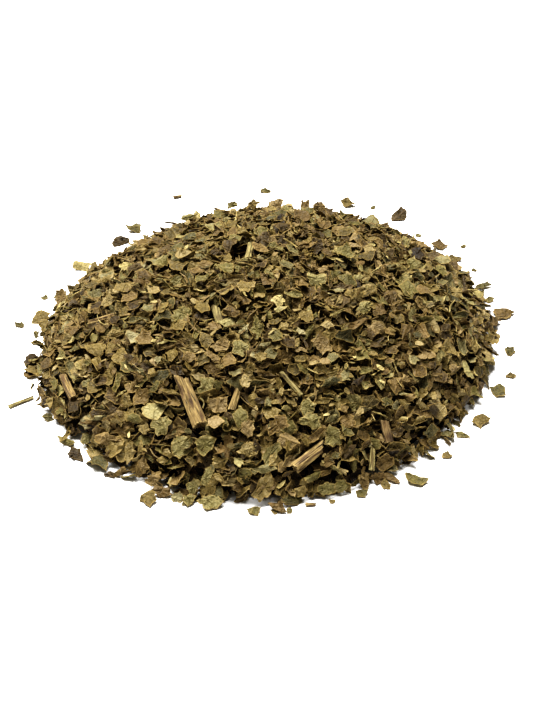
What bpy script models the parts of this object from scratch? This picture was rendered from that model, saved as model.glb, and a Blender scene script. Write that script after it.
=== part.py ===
"""A heap of dried basil, cut to flakes, as it lies when poured on a table.

The heap is a low dome of packed leaf flakes. Chips of dried stem lie bedded in its surface, and a few
flakes and splinters have rolled clear of its foot. Metres, +Z up, +Y away from the viewer, with the origin
on the table at the middle of the heap's foot.
"""

import math
import random

import bmesh
import bpy
import numpy as np
from mathutils import Matrix, Vector
from mathutils.geometry import intersect_point_line

MM = 0.001

# The heap's foot, from its middle, at even bearings that start at +X and turn towards +Y.
FOOT_RADII_MM = (48.5, 53.0, 55.0, 54.0, 52.5, 51.0, 51.5, 51.0, 51.0, 51.0, 48.0, 46.0)
HEAP_HEIGHT = 24.5 * MM
# 1 gives a parabola and 0.5 half an ellipsoid: a poured heap lies between, with a steep foot.
HEAP_ROUNDNESS = 0.8
LUMP_HEIGHT = 0.7 * MM
LUMP_SPACING = 21 * MM
CORE_SECTORS = 30
CORE_RINGS = 7

# The flakes that cover the heap stand for several real ones each, so they are larger than life.
FLAKE_COUNT = 282
FLAKE_LENGTH = (7.6 * MM, 10.6 * MM)
FLAKE_SHRINK_AT_FOOT = 0.3
FLAKE_SLIMNESS = (0.6, 0.95)
FLAKE_THICKNESS = 0.65 * MM
FLAKE_CORNERS = (5, 5, 6)
# How far each torn corner reaches, as a share, and how far it may turn from even spacing, in radians.
CORNER_REACH = (0.7, 1.0)
CORNER_TURN = 0.16
# Flakes lean off the slope by these spreads, and a tenth of them stand steeper.
FLAKE_TILT = 0.34
FLAKE_STEEP_SHARE = 0.1
FLAKE_STEEP_TILT = 0.9
FLAKE_REACH = 0.98
# 0.5 spreads the flakes evenly seen from above, and less than that sets them closer towards the foot.
FLAKE_SPREAD = 0.45
FLAKE_SHIFT = 0.03
FLAKE_RISE = (0.0, 0.5 * MM)
# The fringe is a ring of smaller flakes that lie half under the heap's edge and half on the table.
FRINGE_COUNT = 44
FRINGE_LENGTH = (4.4 * MM, 6.8 * MM)
FRINGE_OVERHANG = (1.3 * MM, 2.6 * MM)
FRINGE_HEIGHT = 1.0 * MM
FRINGE_STEEPNESS = 4
FRINGE_TILT = 0.1
FRINGE_SHIFT = 0.3
FRINGE_TURN = 0.5
TABLE_GAP = 0.3 * MM
GOLDEN_ANGLE = math.pi * (3 - math.sqrt(5))
SEED = 44

# Stem chips: length and width in mm, distance from the heap's middle in mm, bearing on the heap and bearing
# of the chip's length in degrees, and how far its narrow end is from square, as a share of its width.
STEM_CHIPS = (
    (13.2, 3.3, 37.3, 243.5, 104, 0.5),
    (8.8, 2.1, 46.5, 203, 106, 0.3),
    (8.6, 2.6, 44.5, 280, 53, 0.6),
    (7.0, 1.1, 31.3, 277.5, 124, 0.2),
    (7.0, 1.4, 36.5, 187, 172, 0.4),
    (5.6, 1.9, 17.9, 231, 100, 0.6),
    (7.2, 1.6, 8.3, 124, 84, 0.5),
    (5.2, 1.4, 45.5, 297, 106, 0.7),
    (5.2, 2.2, 42.3, 304, 118, 0.3),
    (5.3, 1.7, 35.1, 258, 70, 0.6),
    (8.6, 1.3, 42.0, 122, 8, 0.2),
    (9.8, 2.6, 47.0, 66, 150, 0.4),
    (7.6, 1.5, 47.0, 98, 10, 0.3),
)
STEM_SIDES = 12
STEM_RIDGE = 0.09
STEM_TAPER = 0.88
STEM_SUNK = 0.25
STEM_GAP = 0.35 * MM
BED_OPENING = 4 * MM

# Flakes that lie clear of the foot: length and width in mm, distance from the heap's middle in mm, bearing
# from it and bearing of the flake's length in degrees.
LOOSE_FLAKES = (
    (1.9, 1.6, 57.8, 166, 0),
    (3.9, 3.1, 54.0, 162, 80),
    (1.3, 1.1, 57.0, 154, 30),
    (3.0, 2.4, 54.0, 152, 60),
    (4.0, 3.0, 57.4, 139, 5),
    (3.8, 3.0, 59.9, 126, 40),
    (3.2, 2.4, 62.8, 121, 170),
    (3.6, 2.7, 53.5, 220, 100),
    (2.2, 1.6, 52.8, 231, 150),
    (3.8, 3.2, 55.0, 243, 60),
    (2.0, 1.6, 52.9, 251, 10),
    (1.6, 1.2, 52.9, 256, 60),
    (2.4, 1.9, 53.2, 266, 170),
    (1.6, 1.2, 53.1, 271, 20),
    (1.4, 1.1, 52.9, 274, 80),
    (1.2, 1.0, 51.4, 284, 0),
    (2.6, 2.0, 51.0, 291.5, 20),
    (2.2, 1.8, 50.2, 298, 100),
    (4.0, 3.4, 52.5, 305, 10),
    (2.0, 1.8, 50.2, 317, 0),
    (3.1, 1.5, 48.8, 326, 165),
    (3.4, 3.0, 49.7, 333, 60),
    (3.8, 3.0, 50.1, 347, 90),
    (2.2, 1.5, 52.4, 354, 0),
    (2.7, 2.3, 52.7, 4, 70),
    (4.4, 3.2, 55.4, 19, 0),
    (2.0, 1.6, 54.9, 26, 30),
    (3.8, 1.8, 56.5, 31.5, 5),
    (1.2, 1.0, 59.3, 38, 0),
    (2.8, 2.2, 59.0, 44, 20),
    (1.2, 1.0, 64.6, 46, 0),
    (3.4, 2.6, 61.0, 50, 150),
    (1.2, 1.0, 61.9, 56, 0),
    (4.0, 3.2, 66.7, 63, 30),
    (1.2, 1.0, 68.1, 69, 0),
    (3.4, 2.8, 67.8, 74, 170),
    (2.2, 1.6, 71.1, 91, 10),
)
LOOSE_CORNERS = 9
LOOSE_THICKNESS = 0.6 * MM
LOOSE_CUP = 0.28

# Splinters of stem that lie clear of the foot, with the same columns as the loose flakes.
LOOSE_SPLINTERS = (
    (6.5, 1.0, 55.6, 196, 35),
    (2.4, 0.9, 51.6, 279, 0),
    (2.3, 0.9, 71.8, 108, 15),
)
# The heap's flakes keep this gap to loose pieces, and are moved inwards by steps until they have it.
LOOSE_GAP = 0.4 * MM
PULL_STEP = 0.4 * MM


def clear_scene():
    for obj in list(bpy.data.objects):
        bpy.data.objects.remove(obj, do_unlink=True)


def new_collection(name):
    collection = bpy.data.collections.new(name)
    bpy.context.scene.collection.children.link(collection)
    return collection


def dried_material(name, colour, roughness):
    material = bpy.data.materials.new(name)
    material.use_nodes = True
    shader = material.node_tree.nodes["Principled BSDF"]
    shader.inputs["Base Color"].default_value = (*colour, 1.0)
    shader.inputs["Roughness"].default_value = roughness
    shader.inputs["Metallic"].default_value = 0.0
    return material


def foot_radius(bearing):
    """The foot's radius at a bearing in radians: the one smooth closed curve through FOOT_RADII_MM."""
    count = len(FOOT_RADII_MM)
    waves = np.fft.rfft(FOOT_RADII_MM) / count
    turns = np.arange(len(waves))
    weights = np.where((turns == 0) | (turns == count // 2), 1.0, 2.0)
    return float((weights * (waves * np.exp(1j * turns * bearing)).real).sum()) * MM


def heap_height(x, y):
    """Height of the packed flakes over a point of the table."""
    share = math.hypot(x, y) / foot_radius(math.atan2(y, x))
    if share >= 1:
        return 0.0
    dome = HEAP_HEIGHT * (1 - share * share) ** HEAP_ROUNDNESS
    wave = math.tau / LUMP_SPACING
    lumps = math.sin(wave * x + 1.1) * math.cos(wave * (y + 0.4 * x))
    return dome + LUMP_HEIGHT * lumps * (1 - share**4)


def heap_normal(x, y):
    """The heap's outward direction over a point of the table."""
    step = 0.8 * MM
    slope_x = (heap_height(x + step, y) - heap_height(x - step, y)) / (2 * step)
    slope_y = (heap_height(x, y + step) - heap_height(x, y - step)) / (2 * step)
    return Vector((-slope_x, -slope_y, 1)).normalized()


def add_object(name, mesh, collection, material):
    mesh.materials.clear()
    mesh.materials.append(material)
    obj = bpy.data.objects.new(name, mesh)
    collection.objects.link(obj)
    return obj


def evaluated_mesh(obj):
    bpy.context.view_layer.update()
    graph = bpy.context.evaluated_depsgraph_get()
    return bpy.data.meshes.new_from_object(obj.evaluated_get(graph))


def packed_core(collection, material):
    """The packed inside of the heap: a turned dome of radius 1, then drawn out to the foot's own line."""
    shares = [math.sin(0.5 * math.pi * ring / CORE_RINGS) for ring in range(CORE_RINGS + 1)]
    profile = bpy.data.meshes.new("dome_profile")
    points = [(share, 0, 1 - share) for share in shares]
    profile.from_pydata(points, [(i, i + 1) for i in range(CORE_RINGS)], [])
    dome = add_object("dome", profile, collection, material)
    turn = dome.modifiers.new("turn", "SCREW")
    turn.steps = turn.render_steps = CORE_SECTORS
    turn.use_merge_vertices = True
    turn.merge_threshold = 0.0001
    mesh = evaluated_mesh(dome)
    bpy.data.objects.remove(dome)
    for vertex in mesh.vertices:
        x, y = vertex.co.x, vertex.co.y
        radius = foot_radius(math.atan2(y, x))
        at = Vector((x * radius, y * radius, 0))
        on_foot = math.hypot(x, y) > 0.999
        at.z = 0 if on_foot else heap_height(at.x, at.y)
        vertex.co = at
    shape = bmesh.new()
    shape.from_mesh(mesh)
    bmesh.ops.remove_doubles(shape, verts=shape.verts, dist=0.00001)
    foot_edges = [edge for edge in shape.edges if edge.is_boundary]
    bmesh.ops.contextual_create(shape, geom=foot_edges)
    bmesh.ops.recalc_face_normals(shape, faces=shape.faces)
    shape.to_mesh(mesh)
    shape.free()
    return add_object("leaf_flake_heap", mesh, collection, material)


def flake_mesh(corners, length, width, thickness, cup, draw):
    """A torn plate of leaf about its own middle: an uneven polygon, flat, or dished where cup isn't 0."""
    shape = bmesh.new()
    bmesh.ops.create_cone(
        shape, cap_ends=True, cap_tris=cup != 0, segments=corners, radius1=0.5, radius2=0.5, depth=1
    )
    reaches = [draw.uniform(*CORNER_REACH) for _ in range(corners)]
    turns = [draw.uniform(-CORNER_TURN, CORNER_TURN) for _ in range(corners)]
    for vertex in shape.verts:
        side = math.copysign(0.5 * thickness, vertex.co.z)
        bearing = math.atan2(vertex.co.y, vertex.co.x) % math.tau
        corner = round(bearing / math.tau * corners) % corners
        on_rim = math.hypot(vertex.co.x, vertex.co.y) > 0.01
        reach = 0.5 * reaches[corner] if on_rim else 0.0
        x = length * reach * math.cos(bearing + turns[corner])
        y = width * reach * math.sin(bearing + turns[corner])
        dish = cup * (x * x / length + 2.2 * y * y / width)
        vertex.co = Vector((x, y, side + dish))
    mesh = bpy.data.meshes.new("flake")
    shape.to_mesh(mesh)
    shape.free()
    return mesh


def pose(at, outward, heading):
    """A frame at a point, with its +Z along outward and its +X as near as it can be to a heading."""
    forward = Vector((math.cos(heading), math.sin(heading), 0))
    side = outward.cross(forward).normalized()
    forward = side.cross(outward)
    turn = Matrix((forward, side, outward)).transposed().to_4x4()
    return Matrix.Translation(at) @ turn


def lift_off_table(mesh, frame, gap):
    """The frame raised until no point of the mesh in it is lower than the gap over the table."""
    lowest = min((frame @ vertex.co).z for vertex in mesh.vertices)
    return Matrix.Translation((0, 0, max(0.0, gap - lowest))) @ frame


def stem_place(chip):
    """A stem chip's frame, with its +X along the stem, and its length and width."""
    length, width, distance, on_heap, heading, _ = chip
    distance *= MM
    x = distance * math.cos(math.radians(on_heap))
    y = distance * math.sin(math.radians(on_heap))
    normal = heap_normal(x, y)
    at = Vector((x, y, heap_height(x, y))) + normal * width * MM * (0.5 - STEM_SUNK)
    return pose(at, normal, math.radians(heading)), length * MM, width * MM


def stem_mesh(length, width, skew, grow=0.0, opening=0.0):
    """A cut length of ridged stem along +X, with the section r = r0 (1 + ridge cos 4a) and one end cut skew.

    A bed for it is larger by grow all round, and its upper half stands higher by opening, so that it clears
    the flakes above the stem.
    """
    shape = bmesh.new()
    bmesh.ops.create_cone(
        shape, cap_ends=True, segments=STEM_SIDES, radius1=1, radius2=STEM_TAPER, depth=1
    )
    for vertex in shape.verts:
        angle = math.atan2(vertex.co.y, vertex.co.x)
        taper = math.hypot(vertex.co.x, vertex.co.y)
        radius = 0.5 * width * taper * (1 + STEM_RIDGE * math.cos(4 * angle)) / (1 + STEM_RIDGE) + grow
        along = vertex.co.z * (length + 2 * grow)
        if vertex.co.z > 0:
            along += skew * width * (0.5 * math.cos(angle) - 0.5)
        height = radius * math.sin(angle)
        lift = opening if height > 0.1 * width else 0.0
        vertex.co = Vector((along, radius * math.cos(angle), height + lift))
    mesh = bpy.data.meshes.new("stem")
    shape.to_mesh(mesh)
    shape.free()
    return mesh


def near_loose_piece(mesh, frame):
    """Whether an edge of the mesh in this frame passes, seen from above, too near to a loose piece."""
    points = [(frame @ vertex.co).to_2d() for vertex in mesh.vertices]
    for length, _, distance, bearing, _ in LOOSE_FLAKES + LOOSE_SPLINTERS:
        middle = on_table(distance, bearing).to_2d()
        for edge in mesh.edges:
            start, end = points[edge.vertices[0]], points[edge.vertices[1]]
            _, share = intersect_point_line(middle, start, end)
            nearest = start.lerp(end, min(max(share, 0.0), 1.0))
            if (nearest - middle).length < 0.5 * length * MM + LOOSE_GAP:
                return True
    return False


def clear_frame(mesh, frame_at, radius):
    """The frame that frame_at gives at a radius, cut down until the mesh is clear of every loose piece."""
    frame = lift_off_table(mesh, frame_at(radius), TABLE_GAP)
    while near_loose_piece(mesh, frame):
        radius -= PULL_STEP
        frame = lift_off_table(mesh, frame_at(radius), TABLE_GAP)
    return frame


def cover_flakes(collection, material, draw):
    """Flakes over the whole dome on a sunflower spiral, each leaning its own way and partly sunk in it."""
    for index in range(FLAKE_COUNT):
        share = FLAKE_REACH * ((index + 0.5) / FLAKE_COUNT) ** FLAKE_SPREAD
        bearing = index * GOLDEN_ANGLE + draw.uniform(-FLAKE_SHIFT, FLAKE_SHIFT)
        length = draw.uniform(*FLAKE_LENGTH) * (1 - FLAKE_SHRINK_AT_FOOT * share**8)
        width = length * draw.uniform(*FLAKE_SLIMNESS)
        steep = draw.random() < FLAKE_STEEP_SHARE
        lean = Vector(draw.gauss(0, FLAKE_STEEP_TILT if steep else FLAKE_TILT) for _ in range(3))
        heading = draw.uniform(0, math.tau)
        rise = draw.uniform(*FLAKE_RISE)
        mesh = flake_mesh(draw.choice(FLAKE_CORNERS), length, width, FLAKE_THICKNESS, 0, draw)

        def frame_at(radius):
            x, y = radius * math.cos(bearing), radius * math.sin(bearing)
            normal = heap_normal(x, y)
            outward = (normal + lean).normalized()
            outward.z = abs(outward.z)
            return pose(Vector((x, y, heap_height(x, y))) + normal * rise, outward, heading)

        frame = clear_frame(mesh, frame_at, share * foot_radius(bearing))
        add_object("cover_flake", mesh, collection, material).matrix_world = frame


def fringe_flakes(collection, material, draw):
    """Flakes round the foot, which lie nearly flat with one end under the heap and the other on the table."""
    for index in range(FRINGE_COUNT):
        bearing = math.tau * (index + draw.uniform(-FRINGE_SHIFT, FRINGE_SHIFT)) / FRINGE_COUNT
        length = draw.uniform(*FRINGE_LENGTH)
        width = length * draw.uniform(*FLAKE_SLIMNESS)
        slope = Vector((math.cos(bearing), math.sin(bearing), FRINGE_STEEPNESS)).normalized()
        lean = Vector(draw.gauss(0, FRINGE_TILT) for _ in range(3))
        heading = bearing + draw.uniform(-FRINGE_TURN, FRINGE_TURN)
        mesh = flake_mesh(draw.choice(FLAKE_CORNERS), length, width, FLAKE_THICKNESS, 0, draw)

        def frame_at(radius):
            at = Vector((radius * math.cos(bearing), radius * math.sin(bearing), FRINGE_HEIGHT))
            return pose(at, (slope + lean).normalized(), heading)

        reach = foot_radius(bearing) + draw.uniform(*FRINGE_OVERHANG)
        frame = clear_frame(mesh, frame_at, reach - 0.5 * length)
        add_object("fringe_flake", mesh, collection, material).matrix_world = frame


def apply_boolean(body, operation, others):
    """One Boolean with a whole collection, applied, with the collection's objects then removed."""
    join = body.modifiers.new(operation.lower(), "BOOLEAN")
    join.operation = operation
    join.operand_type = "COLLECTION"
    join.collection = others
    join.solver = "EXACT"
    mesh = evaluated_mesh(body)
    body.modifiers.clear()
    body.data = mesh
    for obj in list(others.objects):
        bpy.data.objects.remove(obj)
    bpy.data.collections.remove(others)


def drop_scraps(body):
    """Keeps the largest of the pieces that a cut leaves, and drops the loose scraps."""
    shape = bmesh.new()
    shape.from_mesh(body.data)
    seen, largest = set(), []
    for start in shape.verts:
        if start in seen:
            continue
        piece, front = [start], [start]
        seen.add(start)
        while front:
            vertex = front.pop()
            for edge in vertex.link_edges:
                other = edge.other_vert(vertex)
                if other not in seen:
                    seen.add(other)
                    piece.append(other)
                    front.append(other)
        largest = max(largest, piece, key=len)
    kept = set(largest)
    bmesh.ops.delete(shape, geom=[v for v in shape.verts if v not in kept], context="VERTS")
    shape.to_mesh(body.data)
    shape.free()


def make_heap(collection, material):
    """The heap in one body: the packed core, the flakes fused to it, and a bed for each stem chip."""
    draw = random.Random(SEED)
    heap = packed_core(collection, material)
    flakes = new_collection("flakes_to_fuse")
    cover_flakes(flakes, material, draw)
    fringe_flakes(flakes, material, draw)
    apply_boolean(heap, "UNION", flakes)
    beds = new_collection("stem_beds")
    for chip in STEM_CHIPS:
        frame, length, width = stem_place(chip)
        mesh = stem_mesh(length, width, chip[-1], STEM_GAP, BED_OPENING)
        bed = add_object("stem_bed", mesh, beds, material)
        bed.matrix_world = frame
    apply_boolean(heap, "DIFFERENCE", beds)
    drop_scraps(heap)


def make_stem_chips(collection, material):
    for number, chip in enumerate(STEM_CHIPS, 1):
        frame, length, width = stem_place(chip)
        mesh = stem_mesh(length, width, chip[-1])
        stem = add_object(f"stem_chip_{number:02d}", mesh, collection, material)
        stem.matrix_world = frame


def on_table(distance, bearing):
    """A point of the table from its distance in mm and its bearing in degrees."""
    bearing = math.radians(bearing)
    return Vector((math.cos(bearing), math.sin(bearing), 0)) * distance * MM


def make_loose_flakes(collection, material):
    draw = random.Random(SEED + 1)
    for number, (length, width, distance, bearing, heading) in enumerate(LOOSE_FLAKES, 1):
        cup = LOOSE_CUP * draw.uniform(0.4, 1.0)
        mesh = flake_mesh(LOOSE_CORNERS, length * MM, width * MM, LOOSE_THICKNESS, cup, draw)
        frame = pose(on_table(distance, bearing), Vector((0, 0, 1)), math.radians(heading))
        flake = add_object(f"loose_flake_{number:02d}", mesh, collection, material)
        flake.matrix_world = lift_off_table(mesh, frame, 0)


def make_loose_splinters(collection, material):
    for number, (length, width, distance, bearing, heading) in enumerate(LOOSE_SPLINTERS, 1):
        mesh = stem_mesh(length * MM, width * MM, 0.5)
        frame = pose(on_table(distance, bearing), Vector((0, 0, 1)), math.radians(heading))
        splinter = add_object(f"loose_splinter_{number:02d}", mesh, collection, material)
        splinter.matrix_world = lift_off_table(mesh, frame, 0)


def main():
    clear_scene()
    parts = new_collection("dried_basil_heap")
    leaf = dried_material("dried_leaf", (0.105, 0.085, 0.035), 0.8)
    stem = dried_material("dried_stem", (0.32, 0.21, 0.09), 0.7)
    make_heap(parts, leaf)
    make_stem_chips(parts, stem)
    make_loose_flakes(parts, leaf)
    make_loose_splinters(parts, stem)


main()
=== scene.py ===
"""The look of a heap of dried basil: torn leaf flakes, crumbs and stem chips over a dark packed core.

Shapes are worked out in millimetres, with +Z up, +Y away from the viewer and the origin in the middle of
the heap's foot, and become metres as each mesh is made.
"""

import math

import bpy
import numpy as np
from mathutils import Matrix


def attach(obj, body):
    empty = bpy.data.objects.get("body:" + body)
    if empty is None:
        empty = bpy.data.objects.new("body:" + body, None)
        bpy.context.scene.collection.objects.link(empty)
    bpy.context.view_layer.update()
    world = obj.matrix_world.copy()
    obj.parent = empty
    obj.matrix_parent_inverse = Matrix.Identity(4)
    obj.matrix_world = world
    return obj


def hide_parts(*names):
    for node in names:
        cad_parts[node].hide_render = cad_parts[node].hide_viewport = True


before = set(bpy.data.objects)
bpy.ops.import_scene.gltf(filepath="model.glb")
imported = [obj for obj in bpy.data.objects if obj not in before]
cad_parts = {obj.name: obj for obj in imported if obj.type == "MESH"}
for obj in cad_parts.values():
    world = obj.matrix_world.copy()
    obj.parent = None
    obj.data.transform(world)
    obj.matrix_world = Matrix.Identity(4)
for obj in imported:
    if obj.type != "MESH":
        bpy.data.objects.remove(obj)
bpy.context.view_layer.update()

MM = 0.001
SEED = 41

# The heap's form: the foot's radii at even bearings from +X towards +Y, its height and its roundness.
FOOT_RADII = (48.5, 53.0, 55.0, 54.0, 52.5, 51.0, 51.5, 51.0, 51.0, 51.0, 48.0, 46.0)
HEAP_HEIGHT = 24.5
HEAP_ROUNDNESS = 0.8
LUMP_HEIGHT = 0.7
LUMP_SPACING = 21.0

# Stem chips: length, width, distance from the middle, bearing, heading, and skew of the narrow end.
STEM_CHIPS = (
    (13.2, 3.3, 37.3, 243.5, 104, 0.5),
    (8.8, 2.1, 46.5, 203, 106, 0.3),
    (8.6, 2.6, 44.5, 280, 53, 0.6),
    (7.0, 1.1, 31.3, 277.5, 124, 0.2),
    (7.0, 1.4, 36.5, 187, 172, 0.4),
    (5.6, 1.9, 17.9, 231, 100, 0.6),
    (7.2, 1.6, 8.3, 124, 84, 0.5),
    (5.2, 1.4, 45.5, 297, 106, 0.7),
    (5.2, 2.2, 42.3, 304, 118, 0.3),
    (5.3, 1.7, 35.1, 258, 70, 0.6),
    (8.6, 1.3, 42.0, 122, 8, 0.2),
    (9.8, 2.6, 47.0, 66, 150, 0.4),
    (7.6, 1.5, 47.0, 98, 10, 0.3),
)
# How deep stem chips are sunk, as a share of their width, and how much larger loose flakes are drawn.
STEM_SUNK = 0.25
LOOSE_GROWTH = 1.2

# Loose flakes: length, width, distance from the middle, bearing and heading.
LOOSE_FLAKES = (
    (1.9, 1.6, 57.8, 166, 0),
    (3.9, 3.1, 54.0, 162, 80),
    (1.3, 1.1, 57.0, 154, 30),
    (3.0, 2.4, 54.0, 152, 60),
    (4.0, 3.0, 57.4, 139, 5),
    (3.8, 3.0, 59.9, 126, 40),
    (3.2, 2.4, 62.8, 121, 170),
    (3.6, 2.7, 53.5, 220, 100),
    (2.2, 1.6, 52.8, 231, 150),
    (3.8, 3.2, 55.0, 243, 60),
    (2.0, 1.6, 52.9, 251, 10),
    (1.6, 1.2, 52.9, 256, 60),
    (2.4, 1.9, 53.2, 266, 170),
    (1.6, 1.2, 53.1, 271, 20),
    (1.4, 1.1, 52.9, 274, 80),
    (1.2, 1.0, 51.4, 284, 0),
    (2.6, 2.0, 51.0, 291.5, 20),
    (2.2, 1.8, 50.2, 298, 100),
    (4.0, 3.4, 52.5, 305, 10),
    (2.0, 1.8, 50.2, 317, 0),
    (3.1, 1.5, 48.8, 326, 165),
    (3.4, 3.0, 49.7, 333, 60),
    (3.8, 3.0, 50.1, 347, 90),
    (2.2, 1.5, 52.4, 354, 0),
    (2.7, 2.3, 52.7, 4, 70),
    (4.4, 3.2, 55.4, 19, 0),
    (2.0, 1.6, 54.9, 26, 30),
    (3.8, 1.8, 56.5, 31.5, 5),
    (1.2, 1.0, 59.3, 38, 0),
    (2.8, 2.2, 59.0, 44, 20),
    (1.2, 1.0, 64.6, 46, 0),
    (3.4, 2.6, 61.0, 50, 150),
    (1.2, 1.0, 61.9, 56, 0),
    (4.0, 3.2, 66.7, 63, 30),
    (1.2, 1.0, 68.1, 69, 0),
    (3.4, 2.8, 67.8, 74, 170),
    (2.2, 1.6, 71.1, 91, 10),
)
LOOSE_SPLINTERS = (
    (6.5, 1.0, 55.6, 196, 35),
    (2.4, 0.9, 51.6, 279, 0),
    (2.3, 0.9, 71.8, 108, 15),
)

# Where the camera stands: the photograph's frame in pixels, its viewing angle, and what a pixel shows in mm.
FRAME_WIDTH, FRAME_HEIGHT = 533, 711
ELEVATION = math.radians(35)
CAMERA_DISTANCE = 600.0
PIXEL = 0.219
FOCAL_PIXELS = CAMERA_DISTANCE / PIXEL
SENSOR = 36.0
RIGHT = np.array([1.0, 0.0, 0.0])
UP = np.array([0.0, math.sin(ELEVATION), math.cos(ELEVATION)])
TOWARDS_CAMERA = np.array([0.0, -math.cos(ELEVATION), math.sin(ELEVATION)])
# The camera aims this many pixels up and left of the middle of the heap's foot.
AIM_UP = 6.5
AIM_LEFT = 4.5
TARGET = (AIM_UP * UP - AIM_LEFT * RIGHT) * PIXEL
EYE = TARGET + TOWARDS_CAMERA * CAMERA_DISTANCE

# Flakes that stand out on the heap: their place in the photograph as pixels across and down, their length
# and width in mm, the turn of their length in the picture in degrees, and their kind.
MARKED_FLAKES = (
    (182, 314, 4.8, 4.0, 10, "green"),
    (257, 330, 5.3, 3.1, 80, "green"),
    (241, 349, 4.2, 3.9, 90, "green"),
    (321, 344, 5.6, 4.4, 100, "brown"),
    (316, 280, 4.4, 3.6, 0, "green"),
    (278, 301, 3.1, 3.0, 0, "pale"),
    (308, 408, 4.5, 3.5, 80, "green"),
    (311, 422, 5.0, 4.0, 20, "green"),
    (142, 397, 3.9, 3.8, 0, "brown"),
    (264, 487, 6.6, 3.7, 67, "olive"),
    (182, 446, 5.3, 4.5, 50, "green"),
    (205, 446, 4.5, 4.2, 80, "green"),
    (130, 453, 5.1, 2.6, 75, "olive"),
    (108, 439, 7.4, 3.1, -5, "brown"),
    (249, 450, 5.3, 3.3, 10, "olive"),
    (271, 454, 5.8, 3.6, 70, "green"),
    (220, 346, 4.2, 3.5, 0, "brown"),
    (218, 405, 4.4, 3.8, 0, "brown"),
    (206, 386, 3.9, 3.7, 90, "green"),
    (162, 426, 4.8, 4.4, 0, "green"),
    (278, 426, 4.8, 4.8, 0, "brown"),
    (241, 418, 5.5, 3.2, 100, "green"),
    (248, 429, 4.0, 3.0, 90, "brown"),
    (333, 436, 4.9, 3.9, 90, "green"),
    (220, 463, 3.5, 2.8, 0, "olive"),
    (207, 477, 4.4, 2.0, 70, "green"),
    (193, 487, 4.0, 3.0, 80, "green"),
    (155, 480, 4.2, 2.8, -20, "brown"),
    (143, 468, 4.4, 3.0, 80, "brown"),
    (111, 456, 3.2, 2.8, 0, "umber"),
    (299, 492, 3.6, 2.4, 10, "olive"),
    (326, 489, 4.0, 2.8, 20, "green"),
    (342, 486, 3.4, 2.8, 0, "green"),
    (162, 492, 4.9, 2.6, -8, "umber"),
    (190, 500, 3.0, 2.8, 20, "green"),
    (211, 503, 5.8, 3.6, 5, "green"),
    (279, 507, 4.6, 2.6, -15, "umber"),
    (377, 479, 4.0, 2.6, 5, "umber"),
    (108, 302, 3.5, 3.1, 90, "olive"),
    (126, 268, 3.7, 3.0, 0, "pale"),
    (142, 248, 3.9, 3.2, 0, "olive"),
    (63, 302, 6.0, 3.5, 90, "brown"),
    (412, 264, 4.3, 3.7, 80, "green"),
    (405, 280, 3.8, 3.3, 90, "green"),
    (364, 308, 3.9, 3.4, 0, "green"),
    (366, 290, 3.9, 3.0, 0, "olive"),
    (482, 317, 4.8, 3.2, 0, "olive"),
)
# Flakes that stand up along the far crest, told in the same way.
CREST_FLAKES = (
    (305, 209, 5.0, 2.2, 92, "brown"),
    (253, 203, 3.5, 2.2, 20, "olive"),
    (277, 204, 3.3, 2.4, 15, "brown"),
    (232, 204, 2.8, 1.8, 25, "green"),
    (320, 205, 3.5, 2.2, 0, "brown"),
    (198, 211, 2.4, 1.3, -55, "pale"),
    (188, 216, 3.8, 1.6, 15, "green"),
    (172, 219, 5.0, 0.5, -12, "brown"),
    (217, 210, 2.2, 0.5, -40, "umber"),
)

# The height map that flakes settle on: its cell and its half size.
CELL = 0.3
MAP_HALF = 66.0
# How deep under the surface, and how far in from the foot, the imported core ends.
START_DEPTH = 3.1
CORE_INSET = 4.5
# How far flakes may rise over the dome, how far out of the foot they may lie, how far in the under layer
# stays, and the height over which none rests.
SURFACE_RISE = 1.0
FOOT_SPREAD = 2.2
UNDER_INSET = 2.5
HIGHEST_REST = 25.0
# How many spots a flake chooses from, how often it tries, and how far it may stick out of the surface.
SPOTS_TRIED = 3
TRIES = 5
STICKING_OUT = 1.2
# The steepest slope a flake follows, how far up its face stays turned, how much of it may lie over a taken
# place, and the share of the ground under it that it lies above.
STEEPEST_SLOPE = 1.3
LEAST_FACE_UP = 0.16
OVERLAP_ALLOWED = 0.1
RESTING_ON = 0.88
# How much smaller flakes are on top, and larger at the foot.
SIZE_ON_TOP = 0.8
SIZE_AT_FOOT = 1.1
LEAF_THICKNESS = 0.16
# How much thinner a flake is at its edge, and how far its points stray from smooth.
EDGE_THINNING = 0.45
CRUMPLE = 0.032
# A flake's corners: how unevenly they stand, how far they reach, and the share that reach less far.
CORNER_TURN = 0.36
CORNER_REACH = (0.8, 1.15)
NOTCH_SHARE = 0.12
NOTCH_REACH = (0.5, 0.75)
# How wide a border of low flakes a stem has, and the share of its width by which they may rise over its axis.
STEM_MARGIN = 1.5
STEM_SHOWN = 0.15
STEM_RIDGE = 0.09
STEM_TAPER = 0.12
# The ground height that crumbs need under them.
CRUMBS_FROM = 2.0
# Flakes laid one by one: how high over the dome and how far back their place is looked for, and how far from
# the camera; how high over the dome they may lie; how far they tip towards the viewer; and how far round
# them others are kept off and kept down, as squared shares of their half size.
MARKED_RISE = 0.8 * SURFACE_RISE
SEEN_TO = 47.0
SIGHT = np.arange(CAMERA_DISTANCE - 80, CAMERA_DISTANCE + 60, 0.1)[:, None]
LAID_RISE = 2.4 * SURFACE_RISE
MARKED_TIP = 0.6
CREST_TIP = 3.0
OWN_ROUND = 0.9
NEAR_ROUND = 2.5

# How a flake is cut: its corners, the points between two of them, its rings as shares of its outline, and
# how far its edges stray from straight, as a share of a side.
UNDER_CUT = (5, 1, (1.0,), 0.16)
COVER_CUT = (6, 2, (0.55, 1.0), 0.17)
MARKED_CUT = (6, 3, (0.35, 0.7, 1.0), 0.16)
CRUMB_CUT = (7, 0, (1.0,), 0.2)
FIBRE_CUT = (5, 1, (0.5, 1.0), 0.05)
LOOSE_CUT = (5, 2, (0.35, 0.7, 1.0), 0.1)

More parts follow.
